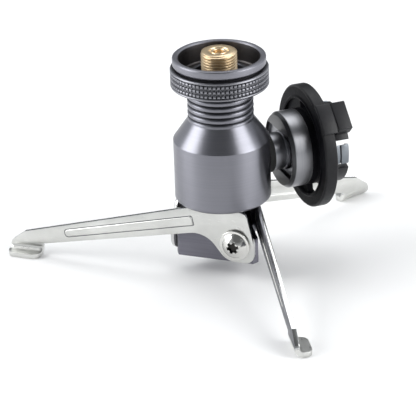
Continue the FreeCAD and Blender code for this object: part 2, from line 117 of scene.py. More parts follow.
def upright(x, y, z):
    return (x, y, z)


def on_arm(x, y, z):
    """A shape turned about its own Z lies along the gas arm."""
    return (z, x, ARM_Z + y)


def turned(outline, n=144, closed=False, place=upright, radius=None):
    """Turns an (r, z) outline about the axis; radius(r, z, angle) may shape it."""
    verts, faces, rings = [], [], []
    for r, z in outline:
        if r < 1e-6:
            rings.append([len(verts)])
            verts.append(place(0, 0, z))
            continue
        ring = []
        for k in range(n):
            a = 2 * math.pi * k / n
            rr = radius(r, z, a) if radius else r
            ring.append(len(verts))
            verts.append(place(rr * math.cos(a), rr * math.sin(a), z))
        rings.append(ring)
    pairs = list(zip(rings, rings[1:]))
    if closed:
        pairs.append((rings[-1], rings[0]))
    for lo, hi in pairs:
        if len(lo) == 1 and len(hi) == 1:
            continue
        for k in range(n):
            m = (k + 1) % n
            if len(lo) == 1:
                faces.append((lo[0], hi[m], hi[k]))
            elif len(hi) == 1:
                faces.append((lo[k], lo[m], hi[0]))
            else:
                faces.append((lo[k], lo[m], hi[m], hi[k]))
    return verts, faces


def prism(outline, depth0, depth1, place):
    """Pushes a flat outline from one depth to another."""
    return pressed(outline, outline, depth0, depth1, place)


def pressed(low, high, depth0, depth1, place):
    """Joins an outline at one depth to another with as many points at a second depth."""
    n = len(low)
    verts = [place(x, y, depth0) for x, y in low] + [place(x, y, depth1) for x, y in high]
    faces = [tuple(range(n))[::-1], tuple(range(n, 2 * n))]
    faces += [(i, (i + 1) % n, n + (i + 1) % n, n + i) for i in range(n)]
    return verts, faces


def swept(outline, angle, span, n=24):
    """Turns an (r, x) outline about the gas arm through a part turn, with closed ends."""
    verts, faces = [], []
    m = len(outline)
    for k in range(n + 1):
        a = math.radians(angle - span / 2 + span * k / n)
        for r, x in outline:
            verts.append((x, -r * math.cos(a), ARM_Z + r * math.sin(a)))
    for k in range(n):
        for i in range(m):
            j = (i + 1) % m
            faces.append((k * m + i, k * m + j, (k + 1) * m + j, (k + 1) * m + i))
    faces.append(tuple(range(m))[::-1])
    faces.append(tuple(n * m + i for i in range(m)))
    return verts, faces


def make(name, shape, material, sharp=35.0, bevel=0.0, segments=2, limit=40.0):
    """Makes a piece from (verts, faces) in mm; angles in degrees, bevel width in mm."""
    verts, faces = shape
    mesh = bpy.data.meshes.new(name)
    mesh.from_pydata([Vector(v) * MM for v in verts], [], faces)
    mesh.validate()
    mesh.update()
    obj = bpy.data.objects.new(name, mesh)
    bpy.context.collection.objects.link(obj)
    tidy_normals(obj)
    mesh.materials.append(material)
    if bevel > 0:
        bevelled(obj, bevel, segments, limit, "MITER_ARC")
    smooth(obj, sharp)
    return obj


def bevelled(obj, width, segments, limit, miter="MITER_SHARP"):
    mod = obj.modifiers.new("edge", "BEVEL")
    mod.width = width * MM
    mod.segments = segments
    mod.limit_method = "ANGLE"
    mod.angle_limit = math.radians(limit)
    mod.miter_outer = miter
    settle(obj)


def tidy_normals(obj):
    """Joins doubled points and turns every face outwards."""
    bm = bmesh.new()
    bm.from_mesh(obj.data)
    bmesh.ops.remove_doubles(bm, verts=bm.verts, dist=1e-7)
    bmesh.ops.recalc_face_normals(bm, faces=bm.faces)
    bm.to_mesh(obj.data)
    bm.free()


def settle(obj):
    """Applies the modifiers to the mesh."""
    graph = bpy.context.evaluated_depsgraph_get()
    mesh = bpy.data.meshes.new_from_object(obj.evaluated_get(graph))
    old = obj.data
    obj.modifiers.clear()
    obj.data = mesh
    bpy.data.meshes.remove(old)


def smooth(obj, angle):
    obj.data.shade_smooth()
    obj.data.set_sharp_from_angle(angle=math.radians(angle))


def cut(obj, tool):
    """Takes the tool's shape out of a piece and removes the tool."""
    mod = obj.modifiers.new("cut", "BOOLEAN")
    mod.operation = "DIFFERENCE"
    mod.solver = "EXACT"
    mod.object = tool
    settle(obj)
    mesh = tool.data
    bpy.data.objects.remove(tool)
    bpy.data.meshes.remove(mesh)


def finish_piece(obj, body, slot, *nodes):
    """Puts a piece on its body, in place of the named CAD nodes; the slot argument is not used."""
    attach(obj, body)
    if nodes:
        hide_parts(*nodes)
    return obj


# ---- materials ---------------------------------------------------------------
EVEN = (1, 1, 1)
# Scales that turn object coordinates into mm from an axis or a plane.
ACROSS_POST = (1000.0, 1000.0, 0.0)
ACROSS_ARM = (0.0, 1000.0, 1000.0)
ALONG_ARM = (1000.0, 0.0, 0.0)
ARM_SHIFT = (0.0, 0.0, -ARM_Z)
LATHE_ACROSS, CLOUD_ACROSS = 30.0, 12.0


def new_material(name):
    mat = bpy.data.materials.new(name)
    mat.use_nodes = True
    tree = mat.node_tree
    shader = next(n for n in tree.nodes if n.type == "BSDF_PRINCIPLED")
    return mat, tree, shader


def node(tree, kind, **values):
    """Adds a shader node; a value goes to the input or else the setting of that name."""
    made = tree.nodes.new(kind)
    for key, value in values.items():
        if key in made.inputs:
            made.inputs[key].default_value = value
        else:
            setattr(made, key, value)
    return made


def coords(tree, scale, shift=(0.0, 0.0, 0.0)):
    """Object coordinates in metres, scaled, then shifted."""
    place = node(tree, "ShaderNodeTexCoord")
    mapping = node(tree, "ShaderNodeMapping")
    mapping.inputs["Scale"].default_value = scale
    mapping.inputs["Location"].default_value = shift
    tree.links.new(place.outputs["Object"], mapping.inputs["Vector"])
    return mapping.outputs["Vector"]


def noise(tree, scale, size, detail=3.0, rough=0.55):
    tex = node(tree, "ShaderNodeTexNoise", Scale=size, Detail=detail, Roughness=rough)
    tree.links.new(coords(tree, scale), tex.inputs["Vector"])
    return tex.outputs["Fac"]


def ramp(tree, fac, *stops):
    made = node(tree, "ShaderNodeValToRGB")
    tree.links.new(fac, made.inputs["Fac"])
    elements = made.color_ramp.elements
    while len(elements) < len(stops):
        elements.new(0.5)
    for element, (pos, value) in zip(elements, stops):
        element.position = pos
        element.color = (*value, 1) if len(value) == 3 else value
    return made.outputs["Color"]


def grey(v):
    return (v, v, v)


def bump(tree, shader, height, strength, distance, before=None):
    made = node(tree, "ShaderNodeBump", Strength=strength, Distance=distance * MM)
    tree.links.new(height, made.inputs["Height"])
    if before is not None:
        tree.links.new(before, made.inputs["Normal"])
    tree.links.new(made.outputs["Normal"], shader.inputs["Normal"])
    return made.outputs["Normal"]


def from_axis(tree, near, far, dark, scale=ACROSS_POST, shift=(0.0, 0.0, 0.0)):
    """Goes from dark at one distance (mm) to full tone at another."""
    length = node(tree, "ShaderNodeVectorMath", operation="LENGTH")
    tree.links.new(coords(tree, scale, shift), length.inputs[0])
    span = node(tree, "ShaderNodeMapRange")
    span.inputs["From Min"].default_value = near
    span.inputs["From Max"].default_value = far
    tree.links.new(length.outputs["Value"], span.inputs["Value"])
    return ramp(tree, span.outputs["Result"], (0.0, dark), (1.0, grey(1.0)))


def multiplied(tree, first, second):
    mix = node(tree, "ShaderNodeMix", data_type="RGBA", blend_type="MULTIPLY")
    mix.inputs["Factor"].default_value = 1.0
    tree.links.new(first, mix.inputs[6])
    tree.links.new(second, mix.inputs[7])
    return mix.outputs[2]


def turned_metal(name, low, high, rough, axis="z", ring_scale=9000.0, strength=0.10,
                 anisotropic=0.72, painted_shade=None):
    """Satin metal with the fine rings a lathe leaves; the last argument paints shade, darkening the
    colour near a radius.
    """
    mat, tree, shader = new_material(name)
    shader.inputs["Metallic"].default_value = 1.0

    def stretched(along, across):
        return (across, across, along) if axis == "z" else (along, across, across)

    rings = noise(tree, stretched(ring_scale, LATHE_ACROSS), 1.0, 4.0, 0.6)
    wide = stretched(ring_scale * 0.35, CLOUD_ACROSS)
    colour = ramp(tree, noise(tree, wide, 1.0, 4.0, 0.7), (0.3, low), (0.7, high))
    if painted_shade:
        colour = multiplied(tree, colour, from_axis(tree, *painted_shade))
    tree.links.new(colour, shader.inputs["Base Color"])
    gloss = ramp(tree, rings, (0.25, grey(rough - 0.05)), (0.75, grey(rough + 0.06)))
    tree.links.new(gloss, shader.inputs["Roughness"])
    first = bump(tree, shader, rings, strength, 0.02)
    bump(tree, shader, noise(tree, EVEN, 5200.0, 2.0), strength * 0.8, 0.015, first)
    if anisotropic > 0:
        shader.inputs["Anisotropic"].default_value = anisotropic
        shader.inputs["Anisotropic Rotation"].default_value = 0.25
        tangent = node(tree, "ShaderNodeTangent", direction_type="RADIAL", axis=axis.upper())
        tree.links.new(tangent.outputs["Tangent"], shader.inputs["Tangent"])
    return mat


def sheet_metal(name, low, high, rough, grain=(120.0, 900.0, 900.0), strength=0.12):
    """Tumbled sheet steel: short random grain, cloudy tone and tiny pits."""
    mat, tree, shader = new_material(name)
    shader.inputs["Metallic"].default_value = 1.0
    fine = noise(tree, grain, 3.0, 4.0, 0.65)
    cloud = noise(tree, EVEN, 90.0, 3.0)
    tree.links.new(ramp(tree, cloud, (0.3, low), (0.7, high)), shader.inputs["Base Color"])
    gloss = ramp(tree, fine, (0.3, grey(rough - 0.06)), (0.7, grey(rough + 0.07)))
    tree.links.new(gloss, shader.inputs["Roughness"])
    first = bump(tree, shader, fine, strength, 0.02)
    bump(tree, shader, noise(tree, EVEN, 3500.0, 2.0), strength, 0.015, first)
    return mat


def moulded(name, low, high, rough, strength=0.25, pebble=2600.0, shine=0.25, face=None):
    """Moulded plastic or rubber: fine spark-eroded grain; face dulls it near a radius."""
    mat, tree, shader = new_material(name)
    patch = noise(tree, EVEN, 160.0, 4.0)
    grain = noise(tree, EVEN, pebble, 2.0, 0.5)
    tree.links.new(ramp(tree, patch, (0.3, low), (0.75, high)), shader.inputs["Base Color"])
    gloss = ramp(tree, grain, (0.3, grey(rough - 0.06)), (0.7, grey(rough + 0.08)))
    tree.links.new(gloss, shader.inputs["Roughness"])
    if face:
        glint = node(tree, "ShaderNodeMath", operation="MULTIPLY")
        tree.links.new(from_axis(tree, *face, ACROSS_ARM, ARM_SHIFT), glint.inputs[0])
        glint.inputs[1].default_value = shine
        tree.links.new(glint.outputs[0], shader.inputs["Specular IOR Level"])
    else:
        shader.inputs["Specular IOR Level"].default_value = shine
    bump(tree, shader, grain, strength, 0.03)
    return mat


# Painted shade: the body's colour darkens below a radius of about 10 mm, deepest in the neck's
# grooves.
ANODISED = turned_metal("anodised", (0.232, 0.233, 0.260), (0.252, 0.253, 0.283), 0.37,
                        "z", 6000.0, 0.12, painted_shade=(9.5, 10.05, grey(0.32)))
# Painted shade: the inside of the seat ring is darkened to a warm dark grey.
ANODISED_CUP = turned_metal("anodised_cup", (0.230, 0.230, 0.258), (0.262, 0.262, 0.290), 0.40,
                            "z", 6000.0, 0.08, 0.3, (12.46, 12.62, (0.30, 0.28, 0.25)))
ANODISED_ARM = turned_metal("anodised_arm", (0.215, 0.217, 0.235), (0.265, 0.267, 0.285), 0.32,
                            "x", 9000.0, 0.1, 0.4)
# Painted shade: the housing's front face, nearer the body than 19.7 mm, is darkened.
HOUSING = turned_metal("anodised_housing", (0.290, 0.292, 0.310), (0.340, 0.342, 0.360), 0.34,
                       "x", 9000.0, 0.1, 0.4, (19.7, 19.9, grey(0.20), ALONG_ARM))
BLOCK_GREY = turned_metal("block_grey", (0.150, 0.148, 0.178), (0.190, 0.188, 0.215), 0.44,
                          "z", 2600.0, 0.16)
# Painted shade: the gaps between the nut's teeth are darkened.
KNURL = turned_metal("knurl", (0.240, 0.242, 0.265), (0.300, 0.302, 0.325), 0.40,
                     "z", 5000.0, 0.08, 0.2, (14.42, 14.95, grey(0.40)))
STEEL = sheet_metal("stamped_steel", (0.600, 0.602, 0.580), (0.720, 0.722, 0.698), 0.32)
EDGE = sheet_metal("sheared_edge", (0.560, 0.565, 0.560), (0.680, 0.685, 0.680), 0.15,
                   (300, 300, 300), 0.05)
# Painted shade: dark steel for the thin line round each leg's rib.
SHADE = sheet_metal("rib_painted_shade_steel", (0.130, 0.135, 0.145), (0.180, 0.185, 0.195), 0.45)
# Painted shade and dark reflection: dark steel for leg 2's inner face and lower edges.
LEG2_SHADE_PAINT = sheet_metal("leg2_painted_shade_steel", (0.130, 0.132, 0.148), (0.220, 0.222, 0.240), 0.40)
BRIGHT = sheet_metal("bright_steel", (0.640, 0.635, 0.610), (0.740, 0.732, 0.702), 0.15,
                     (400, 400, 400), 0.05)
# Painted shade: near-black steel for the recess in each leg screw's head.
RECESS_SHADE_PAINT = sheet_metal("recess_painted_shade_steel", (0.035, 0.034, 0.032), (0.080, 0.078, 0.074), 0.40)
ZINC = sheet_metal("zinc_plate", (0.150, 0.168, 0.190), (0.240, 0.258, 0.280), 0.34,
                   (300, 300, 900), 0.12)
BRASS = turned_metal("brass", (0.770, 0.590, 0.370), (0.880, 0.715, 0.490), 0.34,
                     "z", 7000.0, 0.06, 0.0)
BLACK = moulded("black_nylon", (0.0050, 0.0050, 0.0066), (0.013, 0.013, 0.0160), 0.44,
                0.45, 1700.0, 0.42)
RING_BLACK = moulded("ring_nylon", (0.0035, 0.0035, 0.0048), (0.0095, 0.0095, 0.0118), 0.44,
                     0.45, 1700.0, 0.30, (18.55, 19.05, grey(0.10)))
RUBBER = moulded("black_rubber", (0.010, 0.010, 0.010), (0.018, 0.018, 0.018), 0.68, 0.15, 1800.0)


# ---- body ----------------------------------------------------------------------
def body_outline():
    """Base, cylinder, cone, grooved neck, plain thread, trench and the post's bore."""
    pts = [(0, BODY_Z0, 0), (BODY_R - 0.75, BODY_Z0, 0.2), (BODY_R, BODY_Z0 + 0.75, 0.4)]
    pts += [(BODY_R, SHOULDER_Z, 0.55), (NECK_R, CONE_Z + 0.05, 0.5)]
    z = CONE_Z + 0.75
    first = CONE_Z + 1.3
    while z < THREAD_Z - 0.3:
        near = abs((z - first + GROOVE_PITCH / 2) % GROOVE_PITCH - GROOVE_PITCH / 2)
        dip = GROOVE_DEPTH * math.exp(-(near / 0.30) ** 2) if z > first - 0.6 else 0.0
        crown = 0.12 * (1 - near / (GROOVE_PITCH / 2)) ** 2 if z > first else 0.0
        pts.append((NECK_R - dip - crown, z, 0))
        z += 0.07
    pts += [(THREAD_R, THREAD_Z, 0), (THREAD_R, NECK_Z1 - 0.7, 0.2)]
    pts += [(THREAD_R - 0.8, NECK_Z1, 0.12), (TRENCH_R + 0.2, NECK_Z1, 0.12)]
    pts += [(TRENCH_R, NECK_Z1 - 0.2, 0.1), (TRENCH_R, TRENCH_Z, 0.3), (POST_ROOT, TRENCH_Z)]
    pts += [(POST_ROOT, POST_SEAT_Z), (0, POST_SEAT_Z, 0)]
    return soft(pts, closed=False)


body = make("stove_body", turned(body_outline(), 192), ANODISED, 50)
finish_piece(body, "stand", "anodised_grey", "body")


# ---- leg block -------------------------------------------------------------------
def block_outline():
    """A round bar with a flat for each leg."""
    pts = []
    n = 720
    for k in range(n):
        a = math.radians(360.0 * k / n)
        reach = BODY_R
        for az in LEG_AZIMUTHS:
            c = math.cos(a - math.radians(az + 90))
            if c > 0.05:
                reach = min(reach, FLAT_D / c)
        pts.append((reach, a, reach < BODY_R - 1e-6))
    out = []
    for i, (r, a, flat) in enumerate(pts):
        if flat and pts[i - 1][2] and pts[(i + 1) % n][2]:
            continue
        out.append((r * math.cos(a), r * math.sin(a)))
    return out


bar = prism(block_outline(), BLOCK_Z0, BLOCK_Z1, upright)
block = make("leg_block_bar", bar, BLOCK_GREY, 30, 0.45, 3, 50)
finish_piece(block, "stand", "anodised_grey", "leg_block")
neck_pts = [(0, 13.7, 0), (8.9, 13.7, 0), (BLOCK_NECK_R, 14.4, 0.5), (BLOCK_NECK_R, 23.5, 0),
            (0, 23.5, 0)]
neck = make("leg_block_neck", turned(soft(neck_pts, closed=False), 96), BLOCK_GREY)
finish_piece(neck, "stand", "anodised_grey")


# ---- stove post, valve and seat -----------------------------------------------------
def post_radius(r, z, a):
    """The post's helical thread, rounded off at its top and run in at its foot."""
    if r < POST_ROOT - 0.2 or z < POST_Z0:
        return r
    turn = ((z - POST_Z0) / POST_PITCH - a / (2 * math.pi)) % 1.0
    ridge = max(0.0, 1.0 - abs(turn - 0.5) / 0.40)
    crest = POST_ROOT + (POST_R - POST_ROOT) * min(1.0, ridge * 1.18)
    over = max(0.0, z - (POST_Z1 - 0.5)) / 0.5
    top = crest
    if over > 0.02:
        top = POST_R - 0.6 + 0.6 * math.sqrt(max(0.0, 1 - over ** 2))
    return min(crest, top, POST_ROOT + (z - POST_Z0) * 2.0 + 0.05)


def post_outline():
    shank = POST_ROOT - 0.05
    pts = [(PASSAGE_R, 56.05), (shank, 56.05), (shank, 61.9), (POST_ROOT, POST_Z0 - 0.05)]
    z = POST_Z0
    while z < POST_Z1 - 0.02:
        pts.append((POST_ROOT, z))
        z += 0.05
    top = [(POST_R - 0.62, POST_Z1, 0.05), (3.05, POST_Z1, 0.12), (2.9, POST_Z1 - 0.45, 0.08),
           (2.5, POST_Z1 - 0.45, 0.08), (2.35, POST_Z1 - 0.05, 0.08), (1.95, POST_Z1 - 0.05, 0.06),
           (1.75, POST_Z1 - 0.3, 0.06), (1.75, POST_CAVITY_Z1), (POST_CAVITY_R, POST_CAVITY_Z1),
           (POST_CAVITY_R, POST_CAVITY_Z0), (PASSAGE_R, 57.4), (PASSAGE_R, 56.05, 0)]
    return pts + soft(top, closed=False)


post = make("threaded_post", turned(post_outline(), 120, radius=post_radius), BRASS, 60)
finish_piece(post, "stand", "brass", "stove_post")
stem_pts = [(0, 63.4, 0), (1.2, 63.4), (1.2, 65.2), (2.5, 65.2), (2.5, 66.2), (1.7, 66.6),
            (1.7, 69.95, 0.15), (1.45, 70.2, 0.1), (0.75, 70.2, 0.1), (0.7, 69.2, 0.1),
            (0, 69.0, 0)]
stem = make("valve_pin", turned(soft(stem_pts, closed=False), 64), BRASS)
finish_piece(stem, "stem", "brass", "valve_stem")

cup_pts = [(THREAD_R + 0.3, 62.6), (CUP_WALL, 62.6), (CUP_WALL + 0.4, 62.95),
           (CUP_WALL + 0.4, 63.35), (CUP_WALL, 63.5), (CUP_WALL, 66.4, 0.1),
           (CUP_WALL + 0.55, CUP_Z0 - 0.1, 0.3), (CUP_R - 0.4, CUP_Z0, 0.25),
           (CUP_R, CUP_Z0 + 0.5, 0.4), (CUP_R, CUP_Z1 - 0.3, 0.3), (CUP_R - 0.35, CUP_Z1, 0.25),
           (CUP_IN + 0.35, CUP_Z1, 0.25), (CUP_IN, CUP_Z1 - 0.35, 0.3),
           (CUP_IN - 0.15, CUP_FLOOR + 0.4, 0.3), (CUP_IN - 0.55, CUP_FLOOR, 0.2),
           (THREAD_R + 0.3, CUP_FLOOR)]
cup = make("seat_ring", turned(soft(cup_pts), 192, closed=True), ANODISED_CUP, 50)
finish_piece(cup, "seat", "anodised_grey", "seat_cup")


# ---- height nut -------------------------------------------------------------------
def nut_radius(r, z, a):
    """Cuts the outer faces of the nut's three rows into teeth."""
    if r < 14.2:
        return r
    for lo, hi in NUT_ROWS:
        if lo - 0.02 <= z <= hi + 0.02:
            t = (a * NUT_TEETH / (2 * math.pi)) % 1.0
            side = min(1.0, max(0.0, (0.5 - abs(t - 0.5)) * 5.2))
            return NUT_ROOT + (r - NUT_ROOT) * (side * side * (3 - 2 * side))
    return r


def nut_outline():
    pts = [(NUT_BORE, 60.9), (NUT_BORE + 0.6, 60.4), (14.35, 60.4), (14.6, 60.44)]
    pts += [(14.9, 60.68), (NUT_R, 60.92), (NUT_R, 61.08), (14.9, 61.24)]
    for lo, hi in NUT_ROWS:
        pts += [(NUT_ROOT + 0.1, lo - 0.1), (NUT_ROOT + 0.2, lo), (NUT_R - 0.12, lo + 0.1)]
        pts += [(NUT_R, lo + 0.22), (NUT_R, (lo + hi) / 2), (NUT_R, hi - 0.22)]
        pts += [(NUT_R - 0.12, hi - 0.1), (NUT_ROOT + 0.2, hi), (NUT_ROOT + 0.1, hi + 0.1)]
    pts += [(14.9, 65.7), (NUT_R, 65.82), (NUT_R, 66.04), (NUT_R - 0.1, 66.24)]
    pts += [(NUT_R - 0.32, 66.38), (14.2, 66.4), (13.55, 66.4), (13.4, 66.25), (13.4, 63.8)]
    pts += [(13.8, 63.8), (13.8, 62.6), (13.4, 62.6), (13.4, 62.2), (NUT_BORE, 62.2)]
    return pts


toothed = turned(nut_outline(), NUT_TEETH * 10, closed=True, radius=nut_radius)
nut = make("knurled_nut", toothed, KNURL, 50)
finish_piece(nut, "nut", "anodised_grey", "height_nut")


# ---- legs --------------------------------------------------------------------------
LEG_OUTLINE = [(-10.9, 23.1, 2.8), (6.1, 23.1, 4.0), (63.5, 7.38, 1.0), (67.9, 4.1, 0.9),
               (FOOT_S1, FOOT_BEND, 0), (FOOT_S0, FOOT_BEND, 0), (FOOT_S0 - 0.2, 3.85, 0.4),
               (2.62, 15.15, 8.0), (-4.34, 6.1, 6.0), (-13.3, 6.1, 6.0), (-13.3, 12.7, 0)]


def facing(x, z, depth):
    """A side view of the leg, pushed outwards."""
    return (x, depth, z)


def rib_outline(grow, radius_left, radius_right):
    """Stiffening rib, wider at the root, along the middle of the leg."""
    (s0, z0), (s1, z1) = RIB_START, RIB_END
    turn = math.atan2(z0 - z1, s1 - s0)
    length = math.hypot(z0 - z1, s1 - s0) + grow
    h0, h1 = 1.42 + grow, 1.12 + grow
    pts = [(-grow, -h0, radius_left), (length, -h1, radius_right),
           (length, h1, radius_right), (-grow, h0, radius_left)]
    return [(s0 + x * math.cos(turn) + y * math.sin(turn),
             z0 - x * math.sin(turn) + y * math.cos(turn)) for x, y in soft(pts, seg=5)]


def foot_shape():
    """The turned-out foot: a bend and a lip with rounded ends."""
    up, down = [(LEG_OUT, FOOT_BEND + 0.02)], [(LEG_IN, FOOT_BEND + 0.02)]
    inner = FOOT_BEND - LEG_T
    for k in range(13):
        a = math.pi / 2 * k / 12
        up.append((LEG_OUT + inner * (1 - math.cos(a)), FOOT_BEND - inner * math.sin(a)))
        down.append((LEG_IN + FOOT_BEND * (1 - math.cos(a)), FOOT_BEND * (1 - math.sin(a))))
    for k in range(1, 13):
        t = math.sin(math.pi / 2 * k / 12)
        up.append((LEG_OUT + inner + (FOOT_OUT - LEG_OUT - inner) * t, LEG_T))
        down.append((LEG_IN + FOOT_BEND + (FOOT_OUT - LEG_IN - FOOT_BEND) * t, 0.0))
    verts, faces, rows = [], [], []
    across = 10
    for (y0, z0), (y1, z1) in zip(up, down):
        row = []
        for y, z in ((y0, z0), (y1, z1)):
            over = max(0.0, y - (FOOT_OUT - FOOT_CORNER)) / FOOT_CORNER
            inset = FOOT_CORNER * (1 - math.sqrt(max(0.0, 1 - min(1.0, over) ** 2)))
            line = []
            for k in range(across + 1):
                s = FOOT_S0 + inset + (FOOT_S1 - FOOT_S0 - 2 * inset) * k / across
                line.append(len(verts))
                verts.append((s, y, z))
            row.append(line)
        rows.append(row)
    for (t0, b0), (t1, b1) in zip(rows, rows[1:]):
        for k in range(across):
            faces.append((t0[k], t0[k + 1], t1[k + 1], t1[k]))
            faces.append((b0[k], b1[k], b1[k + 1], b0[k + 1]))
        faces.append((t0[0], t1[0], b1[0], b0[0]))
        faces.append((t0[-1], b0[-1], b1[-1], t1[-1]))
    for top, bottom in (rows[0], rows[-1]):
        for k in range(across):
            faces.append((top[k], top[k + 1], bottom[k + 1], bottom[k]))
    return verts, faces


def make_leg(number, azimuth):
    """Plate with its pressed rib and pivot hole, a painted shade line round the rib, and the foot.
    """
    name = "leg_" + str(number)
    turn = Matrix.Rotation(math.radians(azimuth), 4, "Z")
    blank = prism(soft(LEG_OUTLINE, seg=6), LEG_IN, LEG_OUT, facing)
    plate = make(name + "_plate", blank, STEEL, 30)
    dent = pressed(rib_outline(0.10, 0.5, 1.1), rib_outline(-0.12, 0.4, 0.9),
                   LEG_IN - 0.02, LEG_IN + PRESS_DEPTH, facing)
    cut(plate, make("rib_tool", dent, STEEL))
    steps = [math.pi / 2 * k / 12 for k in range(48)]
    hole = [(PIVOT_S + PIVOT_HOLE_R * math.cos(a), PIVOT_Z + PIVOT_HOLE_R * math.sin(a))
            for a in steps]
    cut(plate, make("hole_tool", prism(hole, LEG_IN - 1, LEG_OUT + 1, facing), STEEL))
    bevelled(plate, 0.22, 2, 50)
    smooth(plate, 30)
    raised = pressed(rib_outline(0.12, 0.5, 1.1), rib_outline(-0.12, 0.4, 0.9),
                     LEG_OUT - 0.05, LEG_OUT + PRESS_DEPTH, facing)
    rib = make(name + "_rib", raised, STEEL, 30, 0.12, 2, 20)
    # Painted shade: a thin dark outline laid on the plate round the rib.
    shadow = pressed(rib_outline(0.34, 0.6, 1.2), rib_outline(0.30, 0.6, 1.2),
                     LEG_OUT - 0.05, LEG_OUT + 0.02, facing)
    line = make(name + "_rib_painted_shade", shadow, SHADE, 30)
    plate.data.materials.append(EDGE)
    plate.data.materials.append(LEG2_SHADE_PAINT)
    for face in plate.data.polygons:
        if abs(face.normal.y) < 0.5:
            face.material_index = 1
        # Painted shade: leg 2's inner face and downward-facing edges get the dark steel.
        if number == 2 and (face.normal.y < -0.9 or face.normal.z < -0.4):
            face.material_index = 2
    foot = make(name + "_foot", foot_shape(), STEEL, 45, 0.2, 2, 60)
    for piece in (plate, rib, line, foot):
        piece.matrix_world = turn
    finish_piece(plate, name + "_body", "stainless", name)
    for piece in (rib, line, foot):
        finish_piece(piece, name + "_body", "stainless")


for number, azimuth in enumerate(LEG_AZIMUTHS, start=1):
    make_leg(number, azimuth)


# ---- screws and washers ----------------------------------------------------------------
def screw_head(radius, height, lobes, mean, swing, depth, n=120, turn=0.0):
    """Button head with a lobed recess; base at z = 0, pointing along +Z."""
    ball = (radius ** 2 + height ** 2) / (2 * height)

    def dome(r):
        return math.sqrt(max(0.0, ball ** 2 - r ** 2)) - (ball - height)

    def lobe(a):
        return mean + swing * math.cos(lobes * (a - turn))

    def recess(scale, level):
        return [(lobe(a) * scale * math.cos(a), lobe(a) * scale * math.sin(a),
                 level(lobe(a) * scale)) for a in circle]

    circle = [2 * math.pi * k / n for k in range(n)]
    floor = height - depth
    rows = [[(0.0, 0.0, floor - 0.15)] * n]
    for scale, z in ((0.55, floor), (0.93, floor), (0.97, floor + 0.15)):
        rows.append(recess(scale, lambda r: z))
    for scale, sink in ((0.985, 0.14), (1.01, 0.04), (1.06, 0.0)):
        rows.append(recess(scale, lambda r: dome(r) - sink))
    outer = mean + swing + 0.25
    for k in range(1, 14):
        t = k / 13
        row = []
        blend = min(1.0, t * 4 + 0.15 if t < 0.22 else 1.0)
        for a in circle:
            start = lobe(a) * 1.06
            r = start + (outer + (radius - outer) * t - start) * blend
            row.append((r * math.cos(a), r * math.sin(a), dome(min(r, radius)) if k < 13 else 0.12))
        rows.append(row)
    for reach in (radius, radius * 0.3):
        rows.append([(reach * math.cos(a), reach * math.sin(a), 0.0) for a in circle])
    verts = [v for row in rows for v in row]
    faces = []
    for i in range(len(rows) - 1):
        for k in range(n):
            m = (k + 1) % n
            faces.append((i * n + k, i * n + m, (i + 1) * n + m, (i + 1) * n + k))
    return verts, faces


def replaced(number, name):
    """The CAD node that the first of several like pieces stands in for."""
    return [name] if number == 1 else []


HEAD_R, HEAD_H, RECESS_R = 4.05, 2.1, 1.95
shank_pts = [(0, -8.0, 0), (2.0, -8.0), (2.0, -2.1), (2.25, -2.1), (2.25, 0.7), (0, 0.7, 0)]
washer_pts = [(2.3, 0), (4.9, 0, 0.12), (4.9, WASHER_T, 0.2), (2.3, WASHER_T)]

for number, azimuth in enumerate(LEG_AZIMUTHS, start=1):
    def on_leg(x, y, z, az=math.radians(azimuth)):
        s, d, h = PIVOT_S - x, LEG_OUT + 0.3 + z, PIVOT_Z + y
        return (s * math.cos(az) - d * math.sin(az), s * math.sin(az) + d * math.cos(az), h)

    verts, faces = screw_head(HEAD_R, HEAD_H, 6, 1.62, 0.30, 1.35, turn=math.radians(14))
    verts = [on_leg(x, y, z + WASHER_T) for x, y, z in verts]
    head = make("leg_screw_" + str(number), (verts, faces), BRIGHT, 45)
    head.data.materials.append(RECESS_SHADE_PAINT)
    heart = Vector(on_leg(0, 0, 0)) * MM
    ahead = (Vector(on_leg(0, 0, 1)) * MM - heart).normalized()
    # Painted shade: the faces down in the recess get the near-black steel.
    for face in head.data.polygons:
        away = face.center - heart
        depth = away.dot(ahead)
        if (away - ahead * depth).length < RECESS_R * MM and 1.0 * MM < depth < 2.35 * MM:
            face.material_index = 1
    finish_piece(head, "stand", "screw_steel", *replaced(number, "leg_screws"))
    shank = make("leg_screw_shank_" + str(number),
                 turned(soft(shank_pts, closed=False), 48, place=on_leg), BRIGHT)
    finish_piece(shank, "stand", "screw_steel")
    ring = make("leg_washer_" + str(number),
                turned(soft(washer_pts), 96, closed=True, place=on_leg), BRIGHT, 45)
    finish_piece(ring, "stand", "screw_steel", *replaced(number, "leg_washers"))


# ---- gas arm -----------------------------------------------------------------------------
gasket_pts = [(4.0, 13.6), (6.3, 13.6), (6.3, 15.5, 0.25), (4.0, 15.5)]
washer = make("arm_gasket", turned(soft(gasket_pts), 96, True, on_arm), RUBBER)
finish_piece(washer, "stand", "rubber", "arm_washer")
tube_pts = [(PASSAGE_R, 15.4), (TUBE_R - 0.15, 15.4), (TUBE_R, 15.6, 0.15),
            (TUBE_R, FLOOR_X - 1.3, 0.15), (TUBE_R - 0.2, FLOOR_X - 1.15, 0.1),
            (LIP_R - 0.15, FLOOR_X - 1.05, 0.1), (LIP_R, FLOOR_X - 0.9, 0.1),
            (LIP_R, FLOOR_X - 0.2, 0.1), (LIP_R - 0.2, FLOOR_X + 0.05), (PASSAGE_R, FLOOR_X + 0.05)]
tube = make("arm_stub", turned(soft(tube_pts), 128, True, on_arm), ANODISED_ARM, 45)
finish_piece(tube, "stand", "anodised_grey", "arm_tube")

